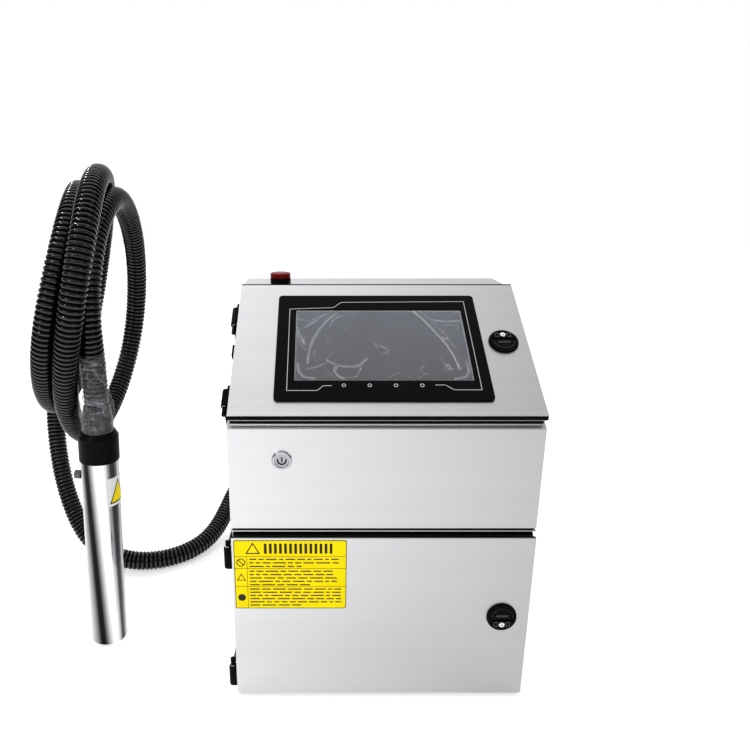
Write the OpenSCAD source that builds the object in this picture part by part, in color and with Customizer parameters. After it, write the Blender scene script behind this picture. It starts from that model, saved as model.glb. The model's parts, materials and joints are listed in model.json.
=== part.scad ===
// Continuous inkjet date coder: two stacked stainless housings with a hinged lid and door,
// and a cylindrical print head on a coiled umbilical hose.
// Millimetres, +Z up, front towards -Y, origin on the floor at the middle of the base.

/* [Housings] */
// Width across the side walls
body_w = 350; // [300:400]
// Depth from the front wall to the rear wall
body_d = 268; // [240:300]
// Sheet thickness
sheet = 1.5; // [1:0.1:2.5]
// Height of the lower housing with its top plate
lower_h = 226.5; // [200:250]
// Height of the upper housing's underside
upper_z = 229; // [228:232]
// Height of the flat top
top_z = 478; // [470:490]

/* [Lid] */
// Slope of the lid from the horizontal
slope = 33; // [28:38]
// Height of the lid's outer plane over the front wall
lid_z = 366; // [360:372]
// Length of the lid up the slope
lid_len = 212; // [204:212]
// Width of the lid
lid_w = 350; // [344:350]
// Side of the screen window across
screen_w = 204; // [180:210]
// Side of the screen window up the slope
screen_h = 114.6; // [100:120]

/* [Door] */
// Width of the door
door_w = 349; // [340:349]
// Height of the door
door_h = 215; // [205:215]
// How far the door stands in front of the front wall
door_proud = 5; // [4:6]

/* [Latches and controls] */
// Radius of a latch flange
latch_r = 18; // [17.5:0.5:20]
// Turning clearance between shafts and bores
run_gap = 0.05; // [0.02:0.01:0.1]
// Radius of the power button's ring
button_r = 11; // [10:12]
// Travel of the power button
button_travel = 2.5; // [1.5:0.5:3]
// Radius of the beacon's base
beacon_r = 13.8; // [13:0.1:15]

/* [Print head] */
// Barrel radius
head_r = 24; // [23:25]
// Barrel length
head_len = 268; // [250:280]
// Lean of the standing head
head_lean = 2.5; // [0:0.5:3]

/* [Umbilical] */
// Radius of the hose
hose_r = 14.2; // [13.5:0.1:14.4]
// Height of the gland on the rear wall
gland_z = 160; // [150:175]
// Length of the gland with its strain relief
gland_len = 57; // [50:57]

/* [Hidden] */
$fn = 48;
front_y = -body_d / 2;
rear_y = body_d / 2;
half_w = body_w / 2;
door_y = front_y - door_proud;
door_z = 4.5;
frame_y = front_y + 10;
lip_n = -11.3;
skin_n = -13;
hinge_x = -half_w - 4.3;
hinge_pin_r = 1.5;
lid_shift = 0.75;
lid_hinge_n = -11;
lid_latch_x = 146.5;
lid_latch_s = 110;
door_latch_x = 142.5;
door_latch_z = 115;
thumb_z = 244;
head_x = -368;
head_y = -26;
head_z = 1.1;
tray_z = 13.5;

hose_points = [
    [-353, -26, 341], [-350, -31, 389], [-344, -53, 440], [-341, -52, 493],
    [-338, -29, 543], [-336, 13, 579], [-338, 69, 594], [-343, 127, 582],
    [-349, 180, 546], [-357, 219, 492], [-368, 242, 429], [-381, 246, 364],
    [-395, 226, 307], [-405, 182, 268], [-410, 125, 252], [-410, 65, 264],
    [-403, 10, 305], [-387, -39, 363], [-363, -75, 427], [-344, -88, 490],
    [-334, -71, 549], [-335, -30, 595], [-344, 29, 619], [-358, 95, 617],
    [-379, 158, 586], [-403, 207, 533], [-426, 235, 465], [-443, 231, 392],
    [-450, 192, 334], [-450, 128, 303], [-441, 55, 311], [-424, -9, 351],
    [-401, -56, 410], [-378, -71, 480], [-364, -46, 545], [-366, 7, 590],
    [-381, 74, 603], [-408, 138, 580], [-439, 189, 531], [-469, 222, 467],
    [-494, 239, 395], [-513, 244, 318], [-522, 239, 239], [-518, 222, 162],
    [-497, 193, 94], [-461, 158, 45], [-413, 135, 22], [-359, 130, 15],
    [-307, 148, 15], [-268, 185, 18], [-247, 235, 30], [-234, 288, 54],
    [-210, 333, 87], [-165, 360, 120], [-109, 361, 144], [-55, 336, 157],
    [-17, 290, 160], [0, 236, 160], [0, 191, 160]
];
hose_last = len(hose_points) - 1;
hose_rings = 80;
hose_sides = 10;

// Height of a plane parallel to the lid at depth y, offset n along the lid's normal.
function plane_z(y, n) = lid_z + (y - front_y) * tan(slope) + n / cos(slope);

// Point of the lid's frame, s up the slope and n along the normal, as [y, z].
function lid_point(s, n) =
    [front_y + s * cos(slope) - n * sin(slope), lid_z + s * sin(slope) + n * cos(slope)];

// Depth where the step at s up the slope reaches height z.
function step_y(s, z) =
    front_y + s * cos(slope) - (z - lid_z - s * sin(slope)) * tan(slope);

function unit(v) = v / norm(v);

// Uniform cubic B-spline through the hose's control points, ends included.
function hose_ctrl(i) =
    i < 0 ? 2 * hose_points[0] - hose_points[1] :
    i > hose_last ? 2 * hose_points[hose_last] - hose_points[hose_last - 1] :
    hose_points[i];
function hose_mix(i, f) =
    (pow(1 - f, 3) * hose_ctrl(i - 1) + (3 * pow(f, 3) - 6 * f * f + 4) * hose_ctrl(i)
    + (1 + 3 * f + 3 * f * f - 3 * pow(f, 3)) * hose_ctrl(i + 1) + pow(f, 3) * hose_ctrl(i + 2)) / 6;
function hose_at(t) = let (i = min(floor(t), hose_last - 1)) hose_mix(i, t - i);

module box(x0, x1, y0, y1, z0, z1) {
    translate([x0, y0, z0])
    cube([x1 - x0, y1 - y0, z1 - z0]);
}

module ring_box(x, y0, y1, z0, z1, wide) {
    difference() {
        box(-x, x, y0, y1, z0, z1);
        box(-x + wide, x - wide, y0 + wide, y1 - wide, z0 - 1, z1 + 1);
    }
}

module rounded_box(x0, x1, y0, y1, z0, z1, r) {
    box(x0 + r, x1 - r, y0, y1, z0, z1);
    box(x0, x1, y0 + r, y1 - r, z0, z1);
    for (x = [x0 + r, x1 - r], y = [y0 + r, y1 - r])
        translate([x, y, z0])
        cylinder(r = r, h = z1 - z0);
}

module side_prism(points, w) {
    rotate([90, 0, 90])
    linear_extrude(w, center = true)
    polygon(points);
}

module on_slope() {
    translate([0, front_y, lid_z])
    rotate([slope, 0, 0])
    children();
}

module at_lid_latch() {
    on_slope()
    translate([lid_latch_x, lid_latch_s, 0])
    children();
}

module at_door_latch() {
    translate([door_latch_x, door_y, door_latch_z])
    rotate([90, 0, 0])
    rotate([0, 0, 180])
    children();
}

module at_head() {
    translate([head_x, head_y, head_z])
    rotate([0, head_lean, 0])
    children();
}

// Quarter-turn latch: flange and cup outside the panel, barrel behind it.
module latch_housing() {
    difference() {
        union() {
            cylinder(r1 = latch_r, r2 = latch_r - 1, h = 3.5);
            translate([0, 0, -5.9])
            cylinder(r = 16.8, h = 6.4);
            translate([0, 0, -14])
            cylinder(r = 9.5, h = 9);
        }
        translate([0, 0, -4.5])
        cylinder(r = 15.6, h = 10);
        translate([0, 0, -15])
        cylinder(r = 5 + run_gap, h = 12);
    }
}

module latch_rotor() {
    difference() {
        union() {
            translate([0, 0, -4.5])
            cylinder(r = 15.5, h = 7.8);
            translate([0, 8.4, 3])
            cylinder(r = 3.1, h = 1.3);
            translate([0, 0, -23])
            cylinder(r = 5, h = 19);
            translate([0, 0, -24.5])
            cylinder(r = 7, h = 3.5, $fn = 6);
        }
        intersection() {
            translate([0, 0, -1.2])
            cylinder(r = 14, h = 6);
            box(-15, 15, -15, 4.2, -1.2, 5);
        }
        translate([-15.05, 1.5, 1.2])
        rotate([0, 90, 0])
        cylinder(r = 0.8 + run_gap, h = 30.1, $fn = 20);
        box(-4, 4, 8, 8.8, 3.6, 5);
    }
}

module latch_flap() {
    intersection() {
        translate([0, 0, -0.8])
        cylinder(r = 13.8, h = 4);
        box(-13.4, 13.4, -15, 1.5, -0.8, 3.2);
    }
    translate([-13.4, 1.5, 1.2])
    rotate([0, 90, 0])
    cylinder(r = 2, h = 26.8, $fn = 24);
    translate([-14.9, 1.5, 1.2])
    rotate([0, 90, 0])
    cylinder(r = 0.8, h = 29.8, $fn = 20);
}

module latch_cam(way) {
    difference() {
        translate([0, 0, -21])
        union() {
            cylinder(r = 8, h = 3);
            box(-7, 7, min(0, way * 24), max(0, way * 24), 0, 3);
        }
        translate([0, 0, -22])
        cylinder(r = 5, h = 5);
    }
}

module lower_cabinet() {
    color("silver")
    difference() {
        union() {
            difference() {
                box(-half_w, half_w, frame_y, rear_y, 0, lower_h);
                box(-half_w + sheet, half_w - sheet, frame_y + sheet, rear_y - sheet,
                    sheet, lower_h - sheet);
                box(-158, 158, frame_y - 1, frame_y + 3, 14, 212);
            }
            box(-half_w, half_w, front_y, frame_y + 1, lower_h - sheet, lower_h);
            box(-half_w, half_w, front_y, frame_y + 1, 0, sheet);
            for (x = [-140, 140], y = [-100, 100])
                translate([x, y, 1])
                cylinder(r = 6.5, h = 8.5);
        }
        for (x = [-140, 140], y = [-100, 100])
            translate([x, y, -1])
            cylinder(r = 3.3, h = 20);
        translate([100, 100, lower_h - 5])
        cylinder(r = 16, h = 10);
        translate([0, rear_y - 5, gland_z])
        rotate([-90, 0, 0])
        cylinder(r = 14, h = 10);
    }
}

module housing_gasket() {
    color("black")
    ring_box(half_w - 2, front_y + 2, rear_y - 2, lower_h, upper_z, 12);
}

module upper_cabinet() {
    s_step = lid_len + 3.5;
    t = sheet;
    color("silver")
    difference() {
        union() {
            side_prism([
                [front_y, upper_z],
                [front_y, plane_z(front_y, skin_n)],
                lid_point(s_step, skin_n),
                [step_y(s_step, top_z), top_z],
                [rear_y, top_z],
                [rear_y, upper_z]
            ], body_w);
            on_slope()
            box(-173, 173, -3, 209, skin_n - 0.5, lip_n);
        }
        side_prism([
            [front_y + t, upper_z + t],
            [front_y + t, plane_z(front_y + t, skin_n - t)],
            lid_point(s_step + t, skin_n - t),
            [step_y(s_step + t, top_z - t), top_z - t],
            [rear_y - t, top_z - t],
            [rear_y - t, upper_z + t]
        ], body_w - 2 * t);
        on_slope()
        box(-158, 158, 14, 194, -20, 0);
        translate([-115, front_y - 1, 314])
        rotate([-90, 0, 0])
        cylinder(r = 9.5, h = 5);
        translate([100, 100, upper_z - 1])
        cylinder(r = 16, h = 5);
        for (k = [0:6])
            box(70, 130, rear_y - 5, rear_y + 1, 340 + 9 * k, 344 + 9 * k);
        box(-133.5, -106.5, rear_y - 5, rear_y + 1, 260, 280);
        translate([-126, 85, top_z - 5])
        cylinder(r = 5, h = 10);
    }
}

module door_panel() {
    x = door_w / 2;
    top = door_z + door_h;
    color("gainsboro")
    difference() {
        union() {
            box(-x, x, door_y, door_y + 1.2, door_z, top);
            box(-x + 3, x - 3, door_y + 1, front_y, door_z + 3, top - 3);
            box(-x + 0.8, x - 0.8, front_y - 0.5, front_y + 3, door_z + 0.8, top - 0.8);
        }
        box(-x + 4.5, x - 4.5, door_y + 1.2, front_y + 1.8, door_z + 4.5, top - 4.5);
        box(-158, 158, front_y, front_y + 10, door_z + 14, top - 14);
        translate([door_latch_x, door_y - 1, door_latch_z])
        rotate([-90, 0, 0])
        cylinder(r = 16.8, h = 20);
    }
}

module door_gasket() {
    x = door_w / 2;
    top = door_z + door_h;
    color("black") {
        difference() {
            box(-x, x, door_y + 1.2, front_y - 0.5, door_z, top);
            box(-x + 3, x - 3, door_y, front_y, door_z + 3, top - 3);
        }
        difference() {
            box(-173, 173, front_y + 3, frame_y - 0.2, door_z - 1.2, top + 1.8);
            box(-161, 161, front_y + 2, frame_y + 1, door_z + 13, top - 13);
        }
    }
}

module door_label() {
    color("yellow")
    box(-172, -42, door_y - 0.4, door_y, 126.5, 217);
}

module door_hinge_cabinet_halves() {
    color("black")
    for (z = [[206.9, 6.3], [42.4, 9.6]])
        translate([hinge_x, front_y, z[0]])
        difference() {
            union() {
                cylinder(r = 2.6, h = z[1]);
                box(1.2, 3.3, 0, 30, 0, z[1]);
                box(1.2, 4.3, 11, 30, 0, z[1]);
            }
            translate([0, 0, -1])
            cylinder(r = hinge_pin_r, h = z[1]);
        }
}

module door_hinge_door_halves() {
    color("black")
    for (z = [[178.5, 27.3], [14.5, 26.8]])
        translate([hinge_x, front_y, z[0]])
        difference() {
            union() {
                cylinder(r = 4.6, h = z[1]);
                box(0, 4.8, -4.5, 4.5, 0, z[1]);
            }
            translate([0, 0, -1])
            cylinder(r = hinge_pin_r + run_gap, h = 40);
        }
}

module door_hinge_pins() {
    color("silver")
    for (z = [[179.5, 32.7, 26.35], [15.5, 35.5, 25.85]])
        translate([hinge_x, front_y, z[0]]) {
            cylinder(r = hinge_pin_r, h = z[1]);
            translate([0, 0, z[2]])
            cylinder(r = 3, h = 1);
        }
}

module door_latch_housing() {
    color("black")
    at_door_latch()
    latch_housing();
}

module door_latch_rotor() {
    color("dimgray")
    at_door_latch()
    latch_rotor();
}

module door_latch_flap() {
    color("black")
    at_door_latch()
    latch_flap();
}

module door_latch_cam() {
    color("silver")
    at_door_latch()
    latch_cam(1);
}

module lid_panel() {
    x = lid_w / 2;
    color("gainsboro")
    on_slope()
    difference() {
        translate([lid_shift, 0, 0]) {
            box(-x, x, 0, lid_len, -0.8, 0);
            ring_box(x - 4, 4, lid_len - 4, -5.3, -0.8, 18);
            ring_box(x - 1, -2.2, lid_len - 1, -6.2, -5, 23);
        }
        box(-107, 107, 43.5, 166.5, -9, 1);
        translate([lid_latch_x, lid_latch_s, -9])
        cylinder(r = 16.8, h = 12);
    }
}

module lid_seals() {
    x = lid_w / 2;
    color("black")
    on_slope() {
        translate([lid_shift, 0, 0]) {
            ring_box(x, 0, lid_len, -5, -0.8, 4);
            side_prism([[0.5, -0.8], [0, -0.8], [-2.6, -5], [0.5, -5]], lid_w);
            box(-x, x, lid_len - 1, lid_len + 1.8, -5, -0.8);
            box(-x, x, lid_len, lid_len + 1.8, -1, 0.3);
        }
        ring_box(171.5, -2.5, 208, lip_n + 0.2, -6.2, 10);
    }
}

module lid_hinge_cabinet_halves() {
    color("black")
    on_slope()
    for (s = [[8.5, 11], [135, 12.5]])
        translate([hinge_x, s[0], lid_hinge_n])
        rotate([-90, 0, 0])
        difference() {
            union() {
                cylinder(r = 2.6, h = s[1]);
                box(1.2, 4.3, 0, 20, 0, s[1]);
            }
            translate([0, 0, 2])
            cylinder(r = hinge_pin_r, h = s[1]);
        }
}

module lid_hinge_lid_halves() {
    color("black")
    on_slope()
    for (s = [[20.7, 22.8], [148.7, 28.3]])
        translate([hinge_x, s[0], lid_hinge_n])
        rotate([-90, 0, 0])
        difference() {
            union() {
                cylinder(r = 4.6, h = s[1]);
                box(0, 5.05, -4.8, 0, 0, s[1]);
                box(2.4, 5.05, -10.5, -4, 0, s[1]);
            }
            translate([0, 0, -1])
            cylinder(r = hinge_pin_r + run_gap, h = 40);
        }
}

module lid_hinge_pins() {
    color("silver")
    on_slope()
    for (s = [[10.5, 31, 9.1], [137, 38, 10.6]])
        translate([hinge_x, s[0], lid_hinge_n])
        rotate([-90, 0, 0]) {
            cylinder(r = hinge_pin_r, h = s[1]);
            translate([0, 0, s[2]])
            cylinder(r = 3, h = 1);
        }
}

module lid_latch_housing() {
    color("black")
    at_lid_latch()
    latch_housing();
}

module lid_latch_rotor() {
    color("dimgray")
    at_lid_latch()
    latch_rotor();
}

module lid_latch_flap() {
    color("black")
    at_lid_latch()
    latch_flap();
}

module lid_latch_cam() {
    color("silver")
    at_lid_latch()
    latch_cam(-1);
}

module display_bezel() {
    x = screen_w / 2;
    color("black")
    on_slope()
    difference() {
        rounded_box(-124.5, 121, 19.4, 189, 0, 3, 5);
        box(-x, x, 48, 48 + screen_h, -1, 4);
        box(-106, 106, 44.5, 165.5, -1, 1.2);
    }
}

module display_panel() {
    color("slategray")
    on_slope()
    box(-106, 106, 44.5, 165.5, -8, 1.2);
}

module screen_film() {
    color("lightgray")
    on_slope()
    box(-100, 100, 50, 160.5, 1.2, 1.4);
}

module indicator_lights() {
    color("white")
    on_slope()
    for (x = [-46, -17, 12.5, 42])
        translate([x, 40.5, 3])
        cylinder(r = 2.4, h = 0.3, $fn = 24);
}

module display_board() {
    color("green")
    on_slope() {
        box(-95, 95, 55, 155, -14, -12.4);
        for (x = [-88, 88], s = [62, 148])
            translate([x, s, -12.4])
            cylinder(r = 3, h = 4.4, $fn = 24);
        box(-60, -20, 80, 120, -17, -14);
        box(10, 60, 70, 82, -22, -14);
        box(30, 50, 100, 120, -16, -14);
    }
}

module power_button_ring() {
    color("silver")
    translate([-115, front_y, 314])
    rotate([90, 0, 0]) {
        difference() {
            union() {
                cylinder(r1 = button_r, r2 = button_r - 1.2, h = 2.6);
                translate([0, 0, -22])
                cylinder(r = 9.5, h = 23);
            }
            translate([0, 0, -10])
            cylinder(r = 8.4, h = 20);
            translate([0, 0, -23])
            cylinder(r = 3 + run_gap, h = 16);
        }
        translate([0, 0, -5.5])
        difference() {
            cylinder(r = 13.5, h = 4, $fn = 6);
            translate([0, 0, -1])
            cylinder(r = 9.4, h = 6);
        }
    }
}

module power_button_cap() {
    color("gainsboro")
    translate([-115, front_y, 314])
    rotate([90, 0, 0]) {
        translate([0, 0, -7])
        cylinder(r = 8.4 - run_gap, h = 8.8);
        translate([0, 0, -19])
        cylinder(r = 3, h = 13);
    }
}

module beacon_base() {
    color("black")
    translate([-126, 85, top_z]) {
        cylinder(r = beacon_r, h = 7.5);
        translate([0, 0, -14])
        cylinder(r = 5, h = 15);
        translate([0, 0, -6.5])
        cylinder(r = 9, h = 5, $fn = 6);
    }
}

module beacon_lens() {
    color("red")
    translate([-126, 85, top_z + 7.5]) {
        cylinder(r = beacon_r - 0.5, h = 6);
        translate([0, 0, 6])
        cylinder(r1 = beacon_r - 0.5, r2 = beacon_r - 1.5, h = 1);
    }
}

module lid_edge_pad() {
    color("black")
    on_slope()
    rounded_box(-177, lid_shift - lid_w / 2, 90, 107, -9.3, -1, 0.8);
}

module control_board() {
    z = upper_z + sheet;
    color("green") {
        box(-50, 150, -110, 40, z + 8, z + 9.6);
        for (x = [-44, 144], y = [-104, 34])
            translate([x, y, z])
            cylinder(r = 3, h = 8, $fn = 24);
        box(-20, 20, -60, -20, z + 9.6, z + 12);
        for (k = [0:6])
            box(-20 + 6 * k, -17 + 6 * k, -60, -20, z + 12, z + 22);
        box(60, 130, -106, -94, z + 9.6, z + 20);
        box(60, 84, -40, -16, z + 9.6, z + 11.6);
        box(100, 130, -50, -10, z + 9.6, z + 11.6);
        box(138, 149, -80, 20, z + 9.6, z + 19);
        for (x = [40, 54, 68])
            translate([x, 20, z + 9.6])
            cylinder(r = 5, h = 16, $fn = 24);
    }
}

module power_supply() {
    z = upper_z + sheet;
    color("lightgray")
    difference() {
        box(-165, -67, -80, 104, z, z + 42);
        box(-163.5, -68.5, -78.5, 102.5, z + 1.5, z + 40.5);
        for (k = [0:11])
            box(-155, -77, -66 + 13 * k, -61 + 13 * k, z + 30, z + 50);
    }
}

module high_voltage_module() {
    z = upper_z + sheet;
    color("darkslategray") {
        box(-40, 50, 60, 120, z, z + 36);
        for (x = [-25, 35])
            translate([x, 90, z + 36])
            cylinder(r = 6, h = 12, $fn = 24);
    }
}

module fan_housing() {
    color("dimgray")
    difference() {
        box(60, 140, rear_y - 27, rear_y - sheet, 329, 409);
        translate([100, rear_y - 30, 369])
        rotate([-90, 0, 0])
        cylinder(r = 37, h = 40);
    }
    color("dimgray")
    translate([100, rear_y - 5, 369])
    rotate([-90, 0, 0]) {
        cylinder(r = 17, h = 3.5);
        translate([0, 0, -16])
        cylinder(r = 2.5, h = 17);
        for (a = [45:90:315])
            rotate([0, 0, a])
            box(15, 39, -2, 2, 0, 3);
    }
}

module fan_rotor() {
    color("black")
    translate([100, rear_y - 24, 369])
    rotate([-90, 0, 0])
    difference() {
        union() {
            cylinder(r = 16, h = 17);
            for (a = [0:51.4286:350])
                rotate([0, 0, a])
                translate([14, 0, 8.5])
                rotate([40, 0, 0])
                box(0, 20, -8, 8, -0.8, 0.8);
        }
        translate([0, 0, 2])
        cylinder(r = 2.5 + run_gap, h = 20);
    }
}

module power_inlet() {
    color("black")
    difference() {
        union() {
            box(-145, -95, rear_y, rear_y + 3, 256, 284);
            box(-133.5, -106.5, rear_y - 22, rear_y + 2, 260, 280);
        }
        box(-131.5, -108.5, rear_y - 14, rear_y + 5, 262, 278);
    }
    color("silver")
    for (x = [-127, -120, -113])
        box(x - 1, x + 1, rear_y - 15, rear_y - 1, 268, 272);
}

module drip_tray() {
    color("silver")
    difference() {
        union() {
            box(-165, 165, -112, 125, 12, 22);
            for (x = [-120, 120], y = [-90, 90])
                translate([x, y, sheet])
                cylinder(r = 5, h = 12, $fn = 24);
        }
        box(-163.5, 163.5, -110.5, 123.5, tray_z, 30);
    }
}

module tank(x0, x1, y0, y1, z1) {
    xm = (x0 + x1) / 2;
    ym = (y0 + y1) / 2;
    difference() {
        union() {
            rounded_box(x0, x1, y0, y1, tray_z, z1, 8);
            translate([xm, ym, z1 - 1])
            cylinder(r = 18, h = 13);
        }
        rounded_box(x0 + 2, x1 - 2, y0 + 2, y1 - 2, tray_z + 2, z1 - 2, 6);
        translate([xm, ym, z1 - 5])
        cylinder(r = 15, h = 20);
    }
}

module tank_cap(xm, ym, z1) {
    translate([xm, ym, z1 + 12]) {
        cylinder(r = 20, h = 9);
        translate([0, 0, -8])
        cylinder(r = 15 - run_gap, h = 9);
        for (a = [0:30:330])
            rotate([0, 0, a])
            translate([20, 0, 0])
            cylinder(r = 1.2, h = 9, $fn = 16);
    }
}

module ink_tank() {
    color("white")
    tank(-155, -65, -108, -28, 150);
}

module ink_cap() {
    color("black")
    tank_cap(-110, -68, 150);
}

module solvent_tank() {
    color("white")
    tank(-50, 40, -108, -28, 150);
}

module solvent_cap() {
    color("darkred")
    tank_cap(-5, -68, 150);
}

module pump_motor() {
    color("dimgray")
    translate([118, -55, tray_z])
    difference() {
        union() {
            cylinder(r = 20.5, h = 50);
            cylinder(r = 22.5, h = 3);
            translate([0, 0, 49])
            cylinder(r = 8, h = 6);
        }
        translate([0, 0, 46])
        cylinder(r = 3 + run_gap, h = 12);
    }
}

module pump_shaft() {
    color("silver")
    translate([118, -55, tray_z]) {
        translate([0, 0, 47])
        cylinder(r = 3, h = 60);
        translate([0, 0, 62])
        cylinder(r = 8, h = 14);
        translate([0, 0, 95])
        cylinder(r = 13, h = 12);
    }
}

module pump_head() {
    color("gray")
    translate([118, -55, tray_z])
    difference() {
        union() {
            box(-23, 23, -24, 24, 85, 118);
            for (x = [-26, 23])
                box(x, x + 3, -24, 24, 0, 118);
            for (y = [-12, 12])
                translate([0, y, 117])
                cylinder(r = 3.5, h = 13);
        }
        translate([0, 0, 93])
        cylinder(r = 15, h = 16);
        translate([0, 0, 80])
        cylinder(r = 3 + run_gap, h = 16);
        for (y = [-12, 12])
            translate([0, y, 105])
            cylinder(r = 2, h = 30);
    }
}

module ink_filter() {
    color("ivory")
    translate([118, 25, tray_z])
    difference() {
        union() {
            cylinder(r = 21, h = 95);
            cylinder(r = 23, h = 10);
            translate([0, 0, 85])
            cylinder(r = 23, h = 12);
            translate([0, 0, 96])
            cylinder(r = 3.5, h = 14);
        }
        translate([0, 0, 6])
        cylinder(r = 18, h = 83);
        translate([0, 0, 80])
        cylinder(r = 2, h = 40);
    }
}

module valve_manifold() {
    color("gray")
    difference() {
        box(-90, 90, 100, rear_y - sheet, 60, 90);
        for (x = [-75, -37.5, 0, 37.5, 75])
            translate([x, 95, 72])
            rotate([-90, 0, 0])
            cylinder(r = 2, h = 20);
    }
    color("black")
    for (x = [-75, -37.5, 0, 37.5, 75])
        translate([x, 116, 90]) {
            cylinder(r = 9, h = 34);
            box(-6, 6, -15, -5, 4, 26);
        }
}

module mixing_tank() {
    color("ivory")
    translate([-115, 40, tray_z])
    difference() {
        union() {
            cylinder(r = 32, h = 110);
            translate([0, 0, 104])
            cylinder(r = 34, h = 10);
            translate([12, 0, 113])
            cylinder(r = 3.5, h = 12);
        }
        translate([0, 0, 3])
        cylinder(r = 29, h = 100);
        translate([12, 0, 100])
        cylinder(r = 2, h = 30);
    }
}

module cabinet_gland() {
    color("black")
    translate([0, rear_y, gland_z])
    rotate([-90, 0, 0])
    difference() {
        union() {
            cylinder(r = 25, h = 5);
            translate([0, 0, 4])
            cylinder(r = 23, h = 13, $fn = 6);
            translate([0, 0, 16])
            cylinder(r1 = 20, r2 = 16.5, h = gland_len - 16);
            translate([0, 0, -12])
            cylinder(r = 14, h = 13);
            translate([0, 0, -8])
            cylinder(r = 19, h = 6.5, $fn = 6);
        }
        translate([0, 0, -13])
        cylinder(r = 11, h = gland_len + 20);
    }
}

module umbilical_hose() {
    ts = [for (k = [0:hose_rings - 1]) hose_last * k / (hose_rings - 1)];
    centres = [for (t = ts) hose_at(t)];
    ways = [for (k = [0:hose_rings - 1])
        k == 0 ? [sin(head_lean), 0, cos(head_lean)] :
        k == hose_rings - 1 ? [0, -1, 0] :
        unit(centres[k + 1] - centres[k - 1])];
    sides = [for (k = 0, u = [0, 1, 0]; k < hose_rings;
        k = k + 1,
        u = k < hose_rings ? unit(u - (u * ways[k]) * ways[k]) : u) u];
    points = [for (k = [0:hose_rings - 1]) let (
        u = unit(sides[k] - (sides[k] * ways[k]) * ways[k]),
        v = cross(ways[k], u)
    ) for (j = [0:hose_sides - 1])
        centres[k] + hose_r * (u * cos(360 * j / hose_sides) + v * sin(360 * j / hose_sides))];
    last = hose_rings - 1;
    faces = concat(
        [[for (j = [0:hose_sides - 1]) j]],
        [[for (j = [hose_sides - 1:-1:0]) last * hose_sides + j]],
        [for (k = [0:last - 1], j = [0:hose_sides - 1]) let (
            a = k * hose_sides + j,
            b = k * hose_sides + (j + 1) % hose_sides
        ) each [[a, b + hose_sides, b], [a, a + hose_sides, b + hose_sides]]]
    );
    color("black")
    polyhedron(points = points, faces = faces);
}

module head_gland_nut() {
    color("gray")
    at_head()
    translate([0, 0, 306])
    difference() {
        union() {
            cylinder(r = 18.8, h = 16);
            translate([0, 0, 16])
            cylinder(r1 = 18.8, r2 = 16, h = 18.2);
        }
        translate([0, 0, -1])
        cylinder(r = 11, h = 40);
    }
}

module head_collar() {
    color("black")
    at_head()
    difference() {
        rotate_extrude($fn = 64)
        polygon([
            [14, 233], [head_r - 1.25, 233], [head_r - 1.25, head_len], [head_r + 1, head_len],
            [head_r + 1, 300], [21.5, 306], [14, 306]
        ]);
        translate([-10, 0, thumb_z])
        rotate([0, -90, 0])
        cylinder(r = 2.5, h = 20, $fn = 24);
    }
}

module head_cover_tube() {
    color("white")
    at_head()
    difference() {
        rotate_extrude($fn = 64)
        polygon([
            [0, 0], [21.5, 0], [23.2, 0.7], [head_r, 2.5], [head_r, head_len],
            [head_r - 1.2, head_len], [head_r - 1.2, 2], [0, 2]
        ]);
        box(-4, 4, -14, 14, -1, 3);
        translate([-10, 0, thumb_z])
        rotate([0, -90, 0])
        cylinder(r = 2.7, h = 20, $fn = 24);
    }
}

module head_thumb_screw() {
    color("black")
    at_head()
    translate([-15, 0, thumb_z])
    rotate([0, -90, 0]) {
        cylinder(r = 2.45, h = 10, $fn = 24);
        translate([0, 0, 9.1])
        cylinder(r = 5.3, h = 8.9);
    }
}

module head_chassis() {
    color("gainsboro")
    at_head() {
        box(-15, 15, 5, 11, 12, 228);
        translate([0, 0, 225])
        cylinder(r = 22, h = 6);
    }
}

module head_nozzle() {
    color("silver")
    at_head() {
        translate([0, -4, 175])
        cylinder(r = 7, h = 40);
        translate([0, -4, 165])
        cylinder(r1 = 2.5, r2 = 7, h = 10);
        box(-9, 9, -6, 5, 185, 205);
    }
}

module head_charge_electrode() {
    color("goldenrod")
    at_head()
    difference() {
        box(-8, 8, -9, 5, 140, 156);
        box(-1, 1, -10, -1, 130, 160);
    }
}

module head_deflection_plates() {
    color("silver")
    at_head()
    for (x = [-9, 6])
        box(x, x + 3, -10, 5, 75, 128);
}

module head_gutter() {
    color("silver")
    at_head()
    difference() {
        union() {
            translate([0, -4, 22])
            cylinder(r = 3, h = 26, $fn = 24);
            box(-6, 6, -2, 5, 24, 38);
        }
        translate([0, -4, 26])
        cylinder(r = 1.5, h = 30, $fn = 24);
    }
}

lower_cabinet();
housing_gasket();
upper_cabinet();
door_panel();
door_gasket();
door_label();
door_hinge_cabinet_halves();
door_hinge_door_halves();
door_hinge_pins();
door_latch_housing();
door_latch_rotor();
door_latch_flap();
door_latch_cam();
lid_panel();
lid_seals();
lid_hinge_cabinet_halves();
lid_hinge_lid_halves();
lid_hinge_pins();
lid_latch_housing();
lid_latch_rotor();
lid_latch_flap();
lid_latch_cam();
display_bezel();
display_panel();
screen_film();
indicator_lights();
display_board();
power_button_ring();
power_button_cap();
beacon_base();
beacon_lens();
lid_edge_pad();
control_board();
power_supply();
high_voltage_module();
fan_housing();
fan_rotor();
power_inlet();
drip_tray();
ink_tank();
ink_cap();
solvent_tank();
solvent_cap();
pump_motor();
pump_shaft();
pump_head();
ink_filter();
valve_manifold();
mixing_tank();
cabinet_gland();
umbilical_hose();
head_gland_nut();
head_collar();
head_cover_tube();
head_thumb_screw();
head_chassis();
head_nozzle();
head_charge_electrode();
head_deflection_plates();
head_gutter();
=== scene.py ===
"""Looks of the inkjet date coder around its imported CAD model, in metres, in the same frame."""

import json
import math
import random

import bmesh
import bpy
from mathutils import Matrix, Vector, noise

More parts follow.
